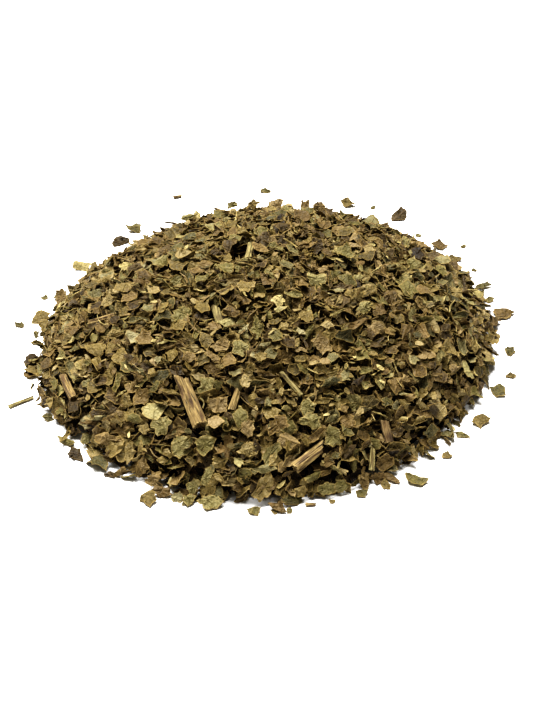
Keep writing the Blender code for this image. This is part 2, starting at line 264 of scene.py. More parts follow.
# Which share of flakes, crumbs and fibres has each colour, and the colours of single pieces.
COVER_SHARES = {"green": 0.2, "grey_green": 0.12, "olive": 0.28, "brown": 0.25, "umber": 0.144, "pale": 0.006}
CRUMB_SHARES = {"olive": 0.52, "brown": 0.38, "pale": 0.1}
FIBRE_SHARES = {"brown": 0.8, "pale": 0.2}
MARKED_KINDS = ("green", "olive", "brown", "umber", "pale")
STEM_WOODS = {4: "green", 6: "green", 7: "green", 8: "green", 9: "brown"}
LOOSE_KINDS = {5: "pale", 26: "brown", 28: "green", 32: "brown", **dict.fromkeys((6, 8, 9, 34), "umber")}
# The colour of a flake's rim: partly the paler broken edge of the leaf, partly a painted highlight.
TORN_EDGE_AND_RIM_HIGHLIGHT = "#937C48"
VEIN = "#827247"


def foot_radius(bearing):
    """The foot line, in mm: the smooth closed curve through FOOT_RADII, as a Fourier series."""
    count = len(FOOT_RADII)
    waves = np.fft.rfft(FOOT_RADII) / count
    turns = np.arange(len(waves))
    weights = np.where((turns == 0) | (turns == count // 2), 1.0, 2.0)
    return (weights * (waves * np.exp(1j * np.multiply.outer(bearing, turns))).real).sum(-1)


def foot_share(x, y, inset=0.0):
    """How far out a place lies, as a share of the foot's radius there, less an inset."""
    return np.hypot(x, y) / (foot_radius(np.arctan2(y, x)) - inset)


def dome_height(x, y):
    """Height in mm: H (1 - s^2)^0.8, with s the share of the foot's radius, and low lumps."""
    share = np.minimum(foot_share(x, y), 1.0)
    wave = math.tau / LUMP_SPACING
    lumps = np.sin(wave * x + 1.1) * np.cos(wave * (y + 0.4 * x))
    return HEAP_HEIGHT * (1 - share**2) ** HEAP_ROUNDNESS + LUMP_HEIGHT * lumps * (1 - share**4)


def core_height(x, y):
    """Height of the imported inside, in mm: the dome again, lower and on a foot set in from the heap's."""
    share = np.minimum(foot_share(x, y, CORE_INSET), 1.0)
    return (HEAP_HEIGHT - START_DEPTH) * (1 - share**2) ** HEAP_ROUNDNESS


def dome_normal(x, y):
    """The dome's outward direction at a point, from its slopes over 0.8 mm each way."""
    step = 0.8
    slope_x = (dome_height(x + step, y) - dome_height(x - step, y)) / (2 * step)
    slope_y = (dome_height(x, y + step) - dome_height(x, y - step)) / (2 * step)
    normal = np.array([-slope_x, -slope_y, 1.0])
    return normal / np.linalg.norm(normal)


def on_table(distance, bearing):
    """A point from its distance in mm and its bearing in degrees."""
    return distance * math.cos(math.radians(bearing)), distance * math.sin(math.radians(bearing))


def axes_on(normal, heading):
    """Rows along the heading, across it and outwards, at right angles, for a surface with this normal."""
    side = np.cross(normal, (math.cos(heading), math.sin(heading), 0.0))
    side /= np.linalg.norm(side)
    return np.array([np.cross(side, normal), side, normal])


def stem_frame(chip):
    """A stem chip's middle and its axes: along it, across it and out of the heap."""
    _, width, distance, bearing, heading, _ = chip
    x, y = on_table(distance, bearing)
    normal = dome_normal(x, y)
    middle = np.array([x, y, float(dome_height(x, y))]) + normal * width * (0.5 - STEM_SUNK)
    return middle, axes_on(normal, math.radians(heading))


def on_plane(axes, dx, dy):
    """How far a tilted plane rises at offsets from its middle, and how far along and across it they lie."""
    rise = -(axes[2, 0] * dx + axes[2, 1] * dy) / axes[2, 2]
    along = dx * axes[0, 0] + dy * axes[0, 1] + rise * axes[0, 2]
    across = dx * axes[1, 0] + dy * axes[1, 1] + rise * axes[1, 2]
    return rise, along, across


def under_pixel(across, down):
    """Where the line of sight through a pixel meets the heap's surface, or else comes nearest to it."""
    sideways = RIGHT * (across - 0.5 * FRAME_WIDTH)
    upwards = UP * (0.5 * FRAME_HEIGHT - down)
    ray = sideways + upwards - TOWARDS_CAMERA * FOCAL_PIXELS
    points = EYE + SIGHT * ray / np.linalg.norm(ray)
    points = points[(points[:, 2] > 0) & (points[:, 1] < SEEN_TO)]
    clearance = points[:, 2] - dome_height(points[:, 0], points[:, 1]) - MARKED_RISE
    met = clearance < 0
    return points[np.argmax(met)] if met.any() else points[np.argmin(clearance)]


def facing_axes(point, tipped, turn):
    """Axes of a flake at a point: tipped towards the viewer, its length at that turn in the picture."""
    normal = dome_normal(point[0], point[1]) + tipped * TOWARDS_CAMERA
    normal /= np.linalg.norm(normal)
    wanted = RIGHT * math.cos(math.radians(turn)) + UP * math.sin(math.radians(turn))
    along = wanted - TOWARDS_CAMERA * (wanted @ normal) / (TOWARDS_CAMERA @ normal)
    along /= np.linalg.norm(along)
    return np.array([along, np.cross(normal, along), normal])


class SettlingBed:
    """A height map of the heap, on which flakes come to rest one after another."""

    def __init__(self):
        """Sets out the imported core's height, how high flakes may lie, and which spots they may take."""
        steps = np.arange(-MAP_HALF, MAP_HALF + CELL / 2, CELL)
        self.y, self.x = np.meshgrid(steps, steps, indexing="ij")
        beyond = np.hypot(self.x, self.y) - foot_radius(np.arctan2(self.y, self.x))
        dome = dome_height(self.x, self.y)
        skirt = SURFACE_RISE * np.clip(1 - beyond / FOOT_SPREAD, 0, 1)
        self.limit = np.where(beyond < 0, np.minimum(dome + SURFACE_RISE, HIGHEST_REST), skirt)
        self.ground = core_height(self.x, self.y)
        self.taken = np.zeros(self.x.shape, bool)
        self.spots = np.argwhere(beyond < FOOT_SPREAD * 0.8)
        self.inner_spots = np.argwhere(beyond < -UNDER_INSET)
        # Large flakes roll further down a poured heap than small ones.
        share = np.minimum(foot_share(self.x, self.y), 1.0)
        self.size = SIZE_ON_TOP + (SIZE_AT_FOOT - SIZE_ON_TOP) * share**2
        for length, _, distance, bearing, _ in LOOSE_FLAKES + LOOSE_SPLINTERS:
            x, y = on_table(distance, bearing)
            self.taken |= np.hypot(self.x - x, self.y - y) < 0.5 * length + 0.2

    def spots_over(self, height):
        """Spots where the ground has come up to more than a height."""
        return self.spots[self.ground[tuple(self.spots.T)] > height]

    def bed_stem(self, chip):
        """Raises the ground to a stem's round top, and keeps flakes off it."""
        length, width = chip[:2]
        middle, axes = stem_frame(chip)
        rise, along, across = on_plane(axes, self.x - middle[0], self.y - middle[1])
        inside = (abs(along) < 0.5 * length) & (abs(across) < 0.5 * width)
        round_top = np.sqrt(np.maximum(0.25 * width**2 - across**2, 0)) / axes[2, 2]
        self.ground[inside] = np.maximum(self.ground, middle[2] + rise + round_top)[inside]
        self.taken |= inside
        near = (abs(along) < 0.5 * length + STEM_MARGIN) & (abs(across) < 0.5 * width + STEM_MARGIN)
        self.limit[near] = np.minimum(self.limit, middle[2] + rise + STEM_SHOWN * width)[near]

    def lay_in_view(self, tipped, across, down, length, width, turn, kind):
        """Lays a flake where a pixel shows it, and keeps the others off it.

        Its lower edge stays within LAID_RISE of the dome and over the table. Gives its middle, axes,
        length, width and kind.
        """
        middle = under_pixel(across, down)
        axes = facing_axes(middle, tipped, turn)
        half_fall = 0.45 * math.hypot(length * axes[0, 2], width * axes[1, 2])
        dome = float(dome_height(middle[0], middle[1]))
        middle[2] = min(middle[2], dome + LAID_RISE + half_fall)
        middle[2] = max(middle[2], half_fall + 0.1)
        rise, along, across = on_plane(axes, self.x - middle[0], self.y - middle[1])
        share = (2 * along / length) ** 2 + (2 * across / width) ** 2
        inside, near = share < OWN_ROUND, share < NEAR_ROUND
        self.ground[inside] = np.maximum(self.ground, middle[2] + rise + LEAF_THICKNESS)[inside]
        self.taken |= inside
        self.limit[near] = np.minimum(self.limit, middle[2] + rise)[near]
        return middle, axes, length, width, kind

    def settle(self, draw, spots, length, width, lean, stand, sticking_out=STICKING_OUT):
        """Rests flakes on the map, each where a few tried spots leave most room, on a plane fitted there.

        lean turns each off that plane, stand is how much height it adds. Gives which lie, their middles and
        axes, and the lengths and widths as sorted by size between the top and the foot.
        """
        count = len(length)
        length, width = length.copy(), width.copy()
        middles, axes = np.zeros((count, 3)), np.zeros((count, 3, 3))
        lies = np.zeros(count, bool)
        headings = draw.uniform(0, math.tau, count)
        for index in range(count):
            own_length, own_width = length[index], width[index]
            for _ in range(TRIES):
                chosen = spots[draw.integers(0, len(spots), SPOTS_TRIED)]
                room = self.limit[tuple(chosen.T)] - self.ground[tuple(chosen.T)]
                row, column = chosen[np.argmax(room)]
                length[index] = own_length * self.size[row, column]
                width[index] = own_width * self.size[row, column]
                reach = int(math.ceil(0.5 * length[index] / CELL)) + 1
                window = tuple(slice(place - reach, place + reach + 1) for place in (row, column))
                dx = self.x[window] - self.x[row, column]
                dy = self.y[window] - self.y[row, column]
                ground = self.ground[window]
                near = dx * dx + dy * dy < (0.5 * width[index] + CELL) ** 2
                spread = (dx * dx)[near].sum()
                slope = np.array([(dx * ground)[near].sum(), (dy * ground)[near].sum()]) / spread
                slope = np.clip(slope, -STEEPEST_SLOPE, STEEPEST_SLOPE)
                normal = np.array([-slope[0], -slope[1], 1.0])
                normal = normal / np.linalg.norm(normal) + lean[index]
                normal /= np.linalg.norm(normal)
                normal[2] = max(abs(normal[2]), LEAST_FACE_UP)
                normal /= np.linalg.norm(normal)
                turn = axes_on(normal, headings[index])
                rise, along, across = on_plane(turn, dx, dy)
                inside = (2 * along / length[index]) ** 2 + (2 * across / width[index]) ** 2 < 1
                inside[reach, reach] = True
                if self.taken[window][inside].mean() > OVERLAP_ALLOWED:
                    continue
                rest = np.quantile((ground - rise)[inside], RESTING_ON)
                top = rest + rise[inside].max()
                if top > self.limit[row, column] + sticking_out:
                    continue
                middles[index] = self.x[row, column], self.y[row, column], rest
                axes[index] = turn
                lies[index] = True
                raised = np.where(inside, np.maximum(ground, rest + rise + stand[index]), ground)
                self.ground[window] = raised
                break
        return lies, middles, axes, length, width


def torn_outline(draw, count, corners, between, tear):
    """Outline points of torn flakes, as x and y shares of the half length and half width.

    The corners stand at uneven bearings and reach unevenly far. The points between two corners share out the
    straight line from one to the next, each pulled in or pushed out by a part of that line's length.
    """
    uneven = draw.uniform(-CORNER_TURN, CORNER_TURN, (count, corners))
    bearing = math.tau * (np.arange(corners) + uneven) / corners
    reach = draw.uniform(*CORNER_REACH, (count, corners))
    notched = draw.random((count, corners)) < NOTCH_SHARE
    reach = np.where(notched, draw.uniform(*NOTCH_REACH, (count, corners)), reach)
    corner = np.stack([np.cos(bearing), np.sin(bearing)], axis=-1) * reach[..., None]
    line = np.roll(corner, -1, axis=1) - corner
    outline = np.zeros((count, corners, between + 1, 2))
    outline[:, :, 0] = corner
    for step in range(1, between + 1):
        share = (step + draw.uniform(-0.3, 0.3, (count, corners, 1))) / (between + 1)
        push = draw.uniform(-tear, 0.6 * tear, (count, corners, 1))
        outward = np.stack([line[..., 1], -line[..., 0]], axis=-1)
        outline[:, :, step] = corner + share * line + push * outward
    outline = outline.reshape(count, corners * (between + 1), 2)
    lowest, highest = outline.min(axis=1, keepdims=True), outline.max(axis=1, keepdims=True)
    return (outline - 0.5 * (lowest + highest)) / (0.5 * (highest - lowest))


def flake_points(draw, length, width, curl, fold, corners, between, rings, tear, thickness=LEAF_THICKNESS):
    """Closed thin shells of leaf: rings of outline points about a middle, bent, creased and crumpled.

    A point is rolled about a slanted line with the curvature k, so that its distance q from that line
    becomes sin(kq) / k and its height (1 - cos(kq)) / k. A crease along the same line, a lift and a twist
    of the whole, a ripple that grows towards the edge and an uneven crumple of each point are added. Gives
    the points of all flakes, their flat places in mm, their ring shares and their side of the leaf.
    """
    count = len(length)
    outline = torn_outline(draw, count, corners, between, tear)
    points = outline.shape[1]
    shares = np.concatenate([[0.0], np.repeat(rings, points)])
    ring_points = np.tile(outline, (1, len(rings), 1)) * shares[1:, None]
    ring_points = np.concatenate([np.zeros((count, 1, 2)), ring_points], axis=1)
    flat_x = 0.5 * length[:, None] * ring_points[..., 0]
    flat_y = 0.5 * width[:, None] * ring_points[..., 1]
    slant = draw.uniform(-0.5, 0.5, count)[:, None]
    # The roll runs along the flake, so its two long sides turn up or down.
    off = flat_y * np.cos(slant) - flat_x * np.sin(slant)
    on = flat_x * np.cos(slant) + flat_y * np.sin(slant)
    turn = curl[:, None] * off
    rolled = off * np.sinc(turn / math.pi)
    height = 0.5 * curl[:, None] * off**2 * np.sinc(turn / math.tau) ** 2
    lift = draw.normal(0.02, 0.06, count)[:, None]
    twist = draw.normal(0, 0.07, count)[:, None]
    height = height + lift * on**2 + twist * on * off + fold[:, None] * np.abs(off)
    ripple = draw.uniform(0.02, 0.09, count)[:, None]
    waves = draw.integers(2, 5, count)[:, None]
    bearing = np.arctan2(ring_points[..., 1], ring_points[..., 0])
    height = height + ripple * shares**2 * np.sin(waves * bearing + slant * 6) * np.sqrt(length[:, None])
    height = height + draw.normal(0, CRUMPLE, height.shape) * np.sqrt(length * width)[:, None]
    height = height - 0.75 * height.min(axis=1, keepdims=True)
    cosine, sine = np.cos(slant), np.sin(slant)
    middle = np.stack([on * cosine - rolled * sine, on * sine + rolled * cosine, height], axis=-1)
    outward = np.stack([np.sin(turn) * sine, -np.sin(turn) * cosine, np.cos(turn)], axis=-1)
    half = 0.5 * thickness * (1 - EDGE_THINNING * shares**2)[None, :, None]
    shells = np.concatenate([middle + outward * half, middle - outward * half], axis=1)
    flat = np.stack([flat_x, flat_y], axis=-1)
    flat = np.concatenate([flat, flat], axis=1)
    side = np.repeat([0.0, 1.0], len(shares))
    return shells, flat, np.tile(shares, 2), side


def ring_quads(points, rings, start):
    """Quads between rings of points that follow one another in a mesh, from its point number start."""
    near = start + np.arange(points)
    far = start + (np.arange(points) + 1) % points
    quad = np.stack([near, near + points, far + points, far], axis=1)
    return [quad + points * ring for ring in range(rings - 1)]


def shell_faces(points, rings):
    """Corner lists of one shell: a fan and rings of quads on each side, joined by a band round the rim."""
    side = 1 + points * rings
    near = np.arange(points)
    far = (near + 1) % points
    fan = np.stack([np.zeros(points, int), 1 + near, 1 + far], axis=1)
    quads = ring_quads(points, rings, 1)
    rim = 1 + points * (rings - 1)
    band = np.stack([rim + near, rim + near + side, rim + far + side, rim + far], axis=1)
    quads.append(band)
    under = [quad[:, ::-1] + side for quad in quads[:-1]]
    return np.concatenate([fan, fan[:, ::-1] + side]), np.concatenate(quads + under)


def build_mesh(name, vertices, triangles, quads, uv=None, marks=None, sharp=50):
    """A mesh in metres from points in mm and arrays of corners, with a map in mm and named point values."""
    mesh = bpy.data.meshes.new(name)
    corners = np.concatenate([triangles.ravel(), quads.ravel()]).astype(np.int32)
    sizes = np.concatenate([np.full(len(triangles), 3), np.full(len(quads), 4)])
    starts = np.concatenate([[0], np.cumsum(sizes)[:-1]]).astype(np.int32)
    mesh.vertices.add(len(vertices))
    mesh.vertices.foreach_set("co", (vertices * MM).astype(np.float32).ravel())
    mesh.loops.add(len(corners))
    mesh.loops.foreach_set("vertex_index", corners)
    mesh.polygons.add(len(sizes))
    mesh.polygons.foreach_set("loop_start", starts)
    mesh.update(calc_edges=True)
    if uv is not None:
        layer = mesh.uv_layers.new(name="leaf_place")
        layer.data.foreach_set("uv", uv[corners].astype(np.float32).ravel())
    for mark, values in (marks or {}).items():
        attribute = mesh.attributes.new(mark, "FLOAT", "POINT")
        attribute.data.foreach_set("value", values.astype(np.float32))
    mesh.shade_smooth()
    mesh.set_sharp_from_angle(angle=math.radians(sharp))
    return mesh


def add_piece(name, mesh, material, slot, *nodes):
    """Puts a piece in the scene, on the one body of the heap, in place of the solids that it stands for."""
    piece = bpy.data.objects.new(name, mesh)
    bpy.context.scene.collection.objects.link(piece)
    mesh.materials.append(material)
    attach(piece, "root")
    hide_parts(*nodes)
    return piece


def flakes_mesh(name, draw, resting, curl, fold, tone, cut):
    """One mesh of many flakes: each shell is turned by its axes and moved to where it settled.

    resting holds their middles, axes, lengths and widths, cut how finely they are made. The mesh's map
    tells where on a whole leaf each was torn from: mm along the midrib, and mm off it.
    """
    middles, axes, length, width = resting
    corners, between, rings, _ = cut
    shells, flat, shares, side = flake_points(draw, length, width, curl, fold, *cut)
    count, size = shells.shape[:2]
    placed = np.einsum("fvk,fkj->fvj", shells, axes) + middles[:, None, :]
    placed[..., 2] = np.maximum(placed[..., 2], 0.02)
    spin = draw.uniform(0, math.tau, count)[:, None]
    along = draw.uniform(-200, 200, count)[:, None]
    off = draw.normal(0, 3.5, count)[:, None]
    uv = np.stack(
        [
            flat[..., 0] * np.cos(spin) - flat[..., 1] * np.sin(spin) + along,
            flat[..., 0] * np.sin(spin) + flat[..., 1] * np.cos(spin) + off,
        ],
        axis=-1,
    ).reshape(-1, 2)
    fan, quads = shell_faces(corners * (between + 1), len(rings))
    step = size * np.arange(count)[:, None, None]
    marks = {
        "tone": np.repeat(tone, size),
        "edge": np.tile(shares, count),
        "underside": np.tile(side, count),
    }
    triangles = (fan[None] + step).reshape(-1, 3)
    quads = (quads[None] + step).reshape(-1, 4)
    return build_mesh(name, placed.reshape(-1, 3), triangles, quads, uv, marks)


def add_flakes(draw, name, leaf, resting, curl, fold, tone, cut, node="leaf_flake_heap"):
    """Adds a piece of flakes, as flakes_mesh makes them."""
    mesh = flakes_mesh(name, draw, resting, curl, fold, tone, cut)
    return add_piece(name, mesh, leaf, "dried_leaf", node)


def srgb(code):
    """An sRGB hex value as linear red, green, blue and alpha."""
    channels = [int(code[i : i + 2], 16) / 255 for i in (1, 3, 5)]
    return (*(c / 12.92 if c <= 0.04045 else ((c + 0.055) / 1.055) ** 2.4 for c in channels), 1.0)


def add_node(material, kind, inputs=None, stops=None, **settings):
    """Adds a node: settings are its properties, inputs are linked if sockets and set if values."""
    tree = material.node_tree
    node = tree.nodes.new("ShaderNode" + kind)
    for name, value in settings.items():
        setattr(node, name, value)
    for key, value in (inputs or {}).items():
        if isinstance(value, bpy.types.NodeSocket):
            tree.links.new(value, node.inputs[key])
        else:
            node.inputs[key].default_value = value
    if stops:
        ramp = node.color_ramp
        while len(ramp.elements) < len(stops):
            ramp.elements.new(0.5)
        for element, (place, colour) in zip(ramp.elements, stops):
            element.position = place
            element.color = srgb(colour)
    return node


def new_material(name):
    """A new material with its nodes turned on, and its surface shader."""
    material = bpy.data.materials.new(name)
    material.use_nodes = True
    return material, material.node_tree.nodes["Principled BSDF"]


def worked_out(material, operation, *values):
    """What an operation makes of up to three sockets and numbers."""
    return add_node(material, "Math", dict(enumerate(values)), operation=operation).outputs[0]


def rescaled(material, value, low, high, to_low, to_high):
    """A value that ran from low to high, made to run from to_low to to_high."""
    inputs = {"Value": value, "From Min": low, "From Max": high, "To Min": to_low, "To Max": to_high}
    return add_node(material, "MapRange", inputs).outputs["Result"]


def blended(material, share, first, second):
    """The first colour, with the second in its place as the share goes up to one."""
    return add_node(material, "Mix", {"Factor": share, 6: first, 7: second}, data_type="RGBA").outputs[2]


def toned(material, value, tones):
    """The colour for a value from nought to one, between evenly spaced tones."""
    places = np.linspace(0.0, 1.0, len(tones))
    return add_node(material, "ValToRGB", {"Fac": value}, stops=list(zip(places, tones))).outputs["Color"]


def noise(material, place, scale, detail, **more):
    """Soft noise over a map in mm, with that many patches to a mm."""
    inputs = {"Vector": place, "Scale": scale, "Detail": detail, **more}
    return add_node(material, "TexNoise", inputs).outputs["Fac"]


def marked_value(material, mark):
    """A value that the mesh holds for each of its points."""
    return add_node(material, "Attribute", attribute_name=mark).outputs["Fac"]


def finish_surface(material, shader, colour, roughness, height, deep, shine):
    """Links a colour, a roughness and a bump that is as deep as that in metres, and sets the shine."""
    links = material.node_tree.links
    bump = add_node(material, "Bump", {"Strength": 1.0, "Distance": deep, "Height": height})
    links.new(colour, shader.inputs["Base Color"])
    links.new(roughness, shader.inputs["Roughness"])
    links.new(bump.outputs["Normal"], shader.inputs["Normal"])
    shader.inputs["Specular IOR Level"].default_value = shine


def dried_leaf(name, tones, torn=TORN_EDGE_AND_RIM_HIGHLIGHT, vein=VEIN):
    """Air-dried leaf blade, cut and tumbled: matte, mottled, netted with veins, paler below, and paler at the
    torn rim, partly its own colour and partly a painted highlight.

    tones are the blade's colours from its darkest to its palest, torn the colour of its rim: the paler broken
    edge, with a painted highlight where light catches it.
    """
    material, shader = new_material(name)
    place = add_node(material, "UVMap", uv_map="leaf_place").outputs["UV"]
    tone = marked_value(material, "tone")
    edge = marked_value(material, "edge")
    underside = marked_value(material, "underside")
    # Blotches of 1.6 mm, wrinkles of 0.8 mm and grain of 0.4 mm.
    blotch = noise(material, place, 0.6, 3.0)
    wrinkle = noise(material, place, 1.2, 4.0, Distortion=0.8)
    grain = noise(material, place, 2.6, 3.0)
    # The midrib lies where the map's y is nought, and side veins leave it every 3.4 mm, slanting forwards.
    parts = add_node(material, "SeparateXYZ", {"Vector": place})
    off_midrib = worked_out(material, "ABSOLUTE", parts.outputs["Y"])
    slanted = worked_out(material, "MULTIPLY_ADD", off_midrib, -0.9, parts.outputs["X"])
    off_side_vein = worked_out(material, "PINGPONG", slanted, 1.7)
    off_rib = worked_out(material, "MULTIPLY", off_midrib, 0.5)
    off_vein = worked_out(material, "MINIMUM", off_rib, off_side_vein)
    vein_line = rescaled(material, off_vein, 0.05, 0.2, 1.0, 0.0)
    # The net of veinlets has meshes of 0.9 mm.
    net = add_node(
        material, "TexVoronoi", {"Vector": place, "Scale": 1.1}, feature="DISTANCE_TO_EDGE"
    ).outputs["Distance"]
    veinlet = rescaled(material, net, 0.0, 0.12, 0.5, 0.0)
    veins = worked_out(material, "MAXIMUM", veinlet, vein_line)
    mottled = worked_out(material, "MULTIPLY_ADD", blotch, 0.8, tone)
    mottled = worked_out(material, "MULTIPLY_ADD", grain, 0.8, mottled)
    mottled = worked_out(material, "MULTIPLY_ADD", underside, 0.15, mottled)
    mottled = worked_out(material, "ADD", mottled, -0.85)
    blade = toned(material, mottled, tones)
    vein_share = worked_out(material, "MULTIPLY", veins, 0.3)
    veined = blended(material, vein_share, blade, srgb(vein))
    # Towards the rim the colour turns to the rim colour: partly the broken edge, partly a painted highlight.
    torn_edge_and_highlight_share = rescaled(material, edge, 0.84, 1.0, 0.0, 0.55)
    colour = blended(material, torn_edge_and_highlight_share, veined, srgb(torn))
    roughness = rescaled(material, grain, 0.0, 1.0, 0.45, 0.75)
    height = worked_out(material, "MULTIPLY_ADD", veins, 0.5, wrinkle)
    finish_surface(material, shader, colour, roughness, height, 0.00035, 0.25)
    return material


def dried_stem(name, tones, streak):
    """Dried woody stem, snapped by the cutter: fibres run along it, with brown streaks and cracks dark with
    painted shade.
    """
    material, shader = new_material(name)
    place = add_node(material, "UVMap", uv_map="leaf_place").outputs["UV"]
    tone = marked_value(material, "tone")
    # On the map x runs along the stem and y round it, both in mm, so the fibres are stretched in x.
    fibre_place = add_node(material, "Mapping", {"Vector": place, "Scale": (0.3, 2.6, 1.0)}).outputs[0]
    fibre = noise(material, fibre_place, 1.0, 5.0, Roughness=0.65)
    streak_place = add_node(material, "Mapping", {"Vector": place, "Scale": (0.22, 0.9, 1.0)}).outputs[0]
    streaks = noise(material, streak_place, 1.0, 4.0)
    mixed = worked_out(material, "MULTIPLY_ADD", fibre, 1.6, tone)
    mixed = worked_out(material, "ADD", mixed, -0.8)
    wood = toned(material, mixed, tones)
    bark = rescaled(material, streaks, 0.5, 0.6, 0.0, 0.8)
    barked = blended(material, bark, wood, srgb(streak))
    # Fine splits along the fibres, nearly black with painted shade.
    painted_split_shade = rescaled(material, fibre, 0.37, 0.44, 0.9, 0.0)
    colour = blended(material, painted_split_shade, barked, srgb("#1E140A"))
    roughness = rescaled(material, fibre, 0.0, 1.0, 0.5, 0.8)
    finish_surface(material, shader, colour, roughness, fibre, 0.0004, 0.3)
    return material


def packed_shade(name):
    """The flakes packed under the surface, which little light reaches, in painted shade: nearly black, with
    rough crumbs.
    """
    material, shader = new_material(name)
    place = add_node(material, "TexCoord").outputs["Object"]
    crumbs = add_node(material, "TexVoronoi", {"Vector": place, "Scale": 600.0}).outputs["Distance"]
    colour = toned(material, crumbs, ("#1C160B", "#0A0804"))
    roughness = rescaled(material, crumbs, 0.0, 1.0, 0.8, 1.0)
    finish_surface(material, shader, colour, roughness, crumbs, 0.0008, 0.1)
    return material


def packed_core(material):
    """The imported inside: the dome, set in by the depth that the flakes fill, on rings of bearings."""
    points, rings = 96, 26
    bearing = math.tau * np.arange(points) / points
    shares = np.sin(0.5 * math.pi * np.arange(1, rings + 1) / rings)
    radius = (foot_radius(bearing) - CORE_INSET)[None, :] * shares[:, None]
    x, y = radius * np.cos(bearing), radius * np.sin(bearing)
    z = np.maximum(core_height(x, y) - 0.3, 0.02)
    top = np.array([[0.0, 0.0, HEAP_HEIGHT - START_DEPTH - 0.3]])
    ring_points = np.stack([x, y, z], axis=-1).reshape(-1, 3)
    vertices = np.concatenate([top, ring_points, [[0.0, 0.0, 0.02]]])
    near = np.arange(points)
    far = (near + 1) % points
    fan = np.stack([np.zeros(points, int), 1 + near, 1 + far], axis=1)
    quads = np.concatenate(ring_quads(points, rings, 1))
    last = 1 + points * (rings - 1)
    foot = np.stack([np.full(points, len(vertices) - 1), last + far, last + near], axis=1)
    mesh = build_mesh("packed_core", vertices, np.concatenate([fan, foot]), quads)
    return add_piece("packed_core", mesh, material, "dried_leaf", "leaf_flake_heap")


def stem_surface(
    draw, name, chip, tone, middle, axes, around=48, along=40, flat=0.85, bow=0.0, cracks=2, peel=None
):
    """A snapped length of stem: a ridged section carried along a slightly bowed line, with ragged ends.

    The section is r = r0 (1 + 0.09 cos 4a) with finer fibres, flattened, and taken down along a few cracks
    of bell-shaped section. Where the bark has peeled, past a ragged line, the radius is a seventh less.
    Past each end the rings close in over a hollowed pith, and each fibre breaks at its own length.
    """
    length, width, _, _, _, skew = chip
    angle = math.tau * np.arange(around) / around
    travel = np.linspace(0, 1, along)[:, None]
    section = 1 + STEM_RIDGE * np.cos(4 * angle)
    for waves, size in ((11, 0.025), (17, 0.02), (23, 0.02)):
        section = section + size * np.cos(waves * angle + draw.uniform(0, math.tau))
    radius = 0.5 * width * (1 - STEM_TAPER * travel) * section / 1.12
    radius = radius * (1 + 0.025 * np.sin(7 * travel + 2 * angle + draw.uniform(0, math.tau)))
    for _ in range(cracks):
        facing = draw.uniform(0.5, 2.6) + draw.uniform(-0.3, 0.3) * travel
        from_start = np.clip((travel - draw.uniform(-0.3, 0.5)) * 8, 0, 1)
        groove = np.exp(-(((angle - facing) / 0.15) ** 2))
        radius = radius * (1 - draw.uniform(0.15, 0.35) * from_start * groove)
    if peel:
        ragged = peel + 0.05 * np.sin(5 * angle + 1) + draw.uniform(-0.03, 0.03, around)
        on_side = np.clip((1.75 - np.abs(angle - 0.35)) * 4, 0, 1) * (angle < math.pi)
        radius = radius * (1 - on_side * np.clip((travel - ragged) * 25, 0, 1) / 7)
    start = draw.uniform(0, 0.14, around) * width
    end = length + skew * width * (0.5 * np.cos(angle) - 0.5) - draw.uniform(0, 0.18, around) * width
    reach = start + (end - start) * travel
    closing = np.array([[0.9, 0.01], [0.6, 0.06], [0.28, 0.1]])
    first = [(reach[0] + depth * width, radius[0] * share) for share, depth in closing[::-1]]
    last = [(reach[-1] - depth * width, radius[-1] * share) for share, depth in closing]
    reach = np.concatenate([[row[0] for row in first], reach, [row[0] for row in last]])
    radius = np.concatenate([[row[1] for row in first], radius, [row[1] for row in last]])
    rows = len(reach)
    arch = bow * length * (0.25 - (reach / length - 0.5) ** 2)
    local = np.stack(
        [reach - 0.5 * length, radius * np.cos(angle), flat * radius * np.sin(angle) + arch], axis=-1
    ).reshape(-1, 3)
    local = np.concatenate([local, [local[:around].mean(0), local[-around:].mean(0)]])
    placed = local @ axes + middle
    placed[:, 2] = np.maximum(placed[:, 2], 0.02)
    near = np.arange(around)
    far = (near + 1) % around
    quads = ring_quads(around, rows, 0)
    final = around * (rows - 1)
    ends = [
        np.stack([np.full(around, rows * around), near, far], axis=1),
        np.stack([np.full(around, rows * around + 1), final + far, final + near], axis=1),
    ]
    uv = np.stack([reach, 0.5 * width * np.broadcast_to(angle, reach.shape)], axis=-1).reshape(-1, 2)
    uv = np.concatenate([uv, uv[:1], uv[-1:]]) + draw.uniform(-50, 50, 2)
    broken = np.clip(1 - np.minimum(reach, length - reach) / 0.5, 0, 1)
    tones = {"tone": tone + 0.35 * np.concatenate([broken.ravel(), [1.0, 1.0]])}
    return build_mesh(name, placed, np.concatenate(ends), np.concatenate(quads), uv, tones, 70)


draw = np.random.default_rng(SEED)
bed = SettlingBed()

# Leaves, each with its colours from its darkest tone to its palest.
LEAVES = {
    # Leaf that kept some of its green.
    "green": dried_leaf("dried basil leaf, green", ("#2A2609", "#5C542C", "#867D56")),
    # As green, but a little paler and duller, like a leaf's downy side.
    "grey_green": dried_leaf("dried basil leaf, grey green", ("#2B280E", "#605938", "#8A8263")),
    # Yellower, between leaf and straw: the commonest colour on the surface.
    "olive": dried_leaf("dried basil leaf, olive", ("#32290B", "#66572D", "#8C7E5B")),
    # Leaf browned in drying, which warms the heap among the green.
    "brown": dried_leaf("dried basil leaf, browned", ("#2A1F09", "#5B4A26", "#80704F"), vein="#806A40"),
    # Bruised leaf: the darkest flakes that lie on the surface.
    "umber": dried_leaf(
        "dried basil leaf, dark brown", ("#1B1306", "#44371A", "#65522E"), torn="#6E5A32", vein="#5F4A2A"
    ),
    # Flakes under the surface, darkened with painted shade so that the gaps look deep.
    "shaded": dried_leaf(
        "dried basil leaf, painted shade in the gaps", ("#140E05", "#362A12", "#54441F"), torn="#6A522E", vein="#4A3A22"
    ),
    # The few straw coloured flakes, crumbs and fibres that stand out as light specks.
    "pale": dried_leaf(
        "dried basil leaf, pale straw", ("#60552F", "#8C8054", "#B5A778"), torn="#B6A065", vein="#A89763"
    ),
}
